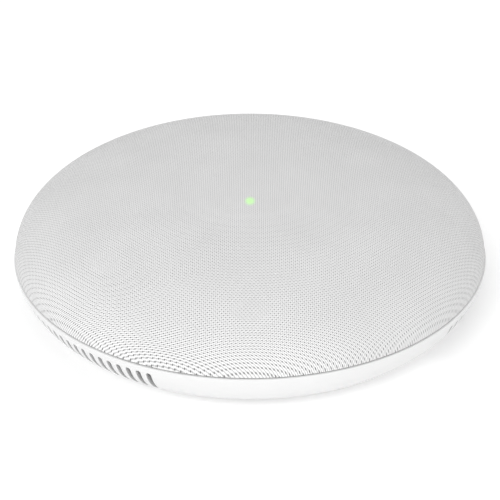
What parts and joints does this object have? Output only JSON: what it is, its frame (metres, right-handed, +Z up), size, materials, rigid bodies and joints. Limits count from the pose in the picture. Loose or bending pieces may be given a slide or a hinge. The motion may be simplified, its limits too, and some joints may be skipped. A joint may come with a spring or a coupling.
{
  "type": "smart speaker",
  "caption": "Low round smart speaker: woven fabric dome over a white bowl base with radial side vents, a status light, and a full-range driver and electronics inside.",
  "frame": {"origin": "on the table under the centre of the speaker, at the underside of the foot ring", "axes": "+Z up, -Y the front where the status light is, +Y the back with the power socket and the mute slider"},
  "size_m": [0.17, 0.17, 0.048],
  "materials": {
    "fabric": "light grey woven acoustic cloth",
    "white_plastic": "satin moulded plastic",
    "grey_plastic": "matt moulded plastic",
    "black_plastic": "matt moulded plastic",
    "grey_silicone": "matt silicone",
    "dark_foam": "open-cell foam",
    "vent_mesh": "fine acoustic mesh",
    "steel": "zinc plated",
    "magnet": "nickel plated",
    "aluminium": "plain sheet",
    "copper": "enamelled copper winding",
    "amber_cloth": "resin-dipped cotton",
    "paper_cone": "pressed paper pulp",
    "rubber": "soft rubber",
    "circuit_board": "solder mask over glass laminate",
    "clear_plastic": "translucent light guide",
    "green_led": "lit green lens",
    "thermal_pad": "soft gap filler",
    "amber_flex": "polyimide ribbon",
    "red_wire": "vinyl insulation"
  },
  "bodies": {
    "housing": {"fabric_cover": "fabric", "grille_dome": "white_plastic", "rim_gasket": "dark_foam", "base_shell": "white_plastic", "bottom_cover": "white_plastic", "foot_ring": "grey_silicone", "vent_mesh_left": "vent_mesh", "vent_mesh_right": "vent_mesh", "inner_frame": "grey_plastic", "speaker_tub": "grey_plastic", "damping_foam": "dark_foam", "driver_gasket": "dark_foam", "driver_basket": "steel", "motor_cup": "steel", "magnet": "magnet", "pole_plate": "steel", "spider": "amber_cloth", "surround": "rubber", "sensor_board": "circuit_board", "status_led": "green_led", "light_pipe": "clear_plastic", "microphone_1": "steel", "microphone_2": "steel", "microphone_3": "steel", "main_board": "circuit_board", "processor_shield": "steel", "thermal_pad": "thermal_pad", "heat_spreader": "aluminium", "radio_shield": "steel", "capacitor_1": "aluminium", "capacitor_2": "aluminium", "antenna_left": "circuit_board", "antenna_right": "circuit_board", "usb_socket": "steel", "usb_tongue": "black_plastic", "port_bezel": "grey_plastic", "mute_switch": "black_plastic", "reset_switch": "black_plastic", "flex_cable": "amber_flex", "speaker_wire_red": "red_wire", "speaker_wire_black": "rubber", "wire_grommet": "rubber", "base_screw_1": "steel", "base_screw_2": "steel", "base_screw_3": "steel", "base_screw_4": "steel", "driver_screw_1": "steel", "driver_screw_2": "steel", "driver_screw_3": "steel", "driver_screw_4": "steel", "board_screw_1": "steel", "board_screw_2": "steel", "board_screw_3": "steel"},
    "cone_assembly": {"cone": "paper_cone", "dust_cap": "paper_cone", "voice_coil": "copper"},
    "mute": {"mute_slider": "white_plastic"},
    "reset": {"reset_button": "grey_plastic"}
  },
  "joints": [
    {"name": "cone_travel", "type": "slide", "parent": "housing", "child": "cone_assembly", "axis": [0, 0, 1], "range_m": [-0.002, 0.002], "stiffness_N_per_m": 1500, "deforming": ["surround", "spider"]},
    {"name": "mute_slide", "type": "slide", "parent": "housing", "child": "mute", "axis": [-0.9272, -0.3746, 0], "range_m": [0, 0.003]},
    {"name": "reset_press", "type": "slide", "parent": "housing", "child": "reset", "axis": [0, 0, 1], "range_m": [0, 0.0006], "stiffness_N_per_m": 600}
  ]
}
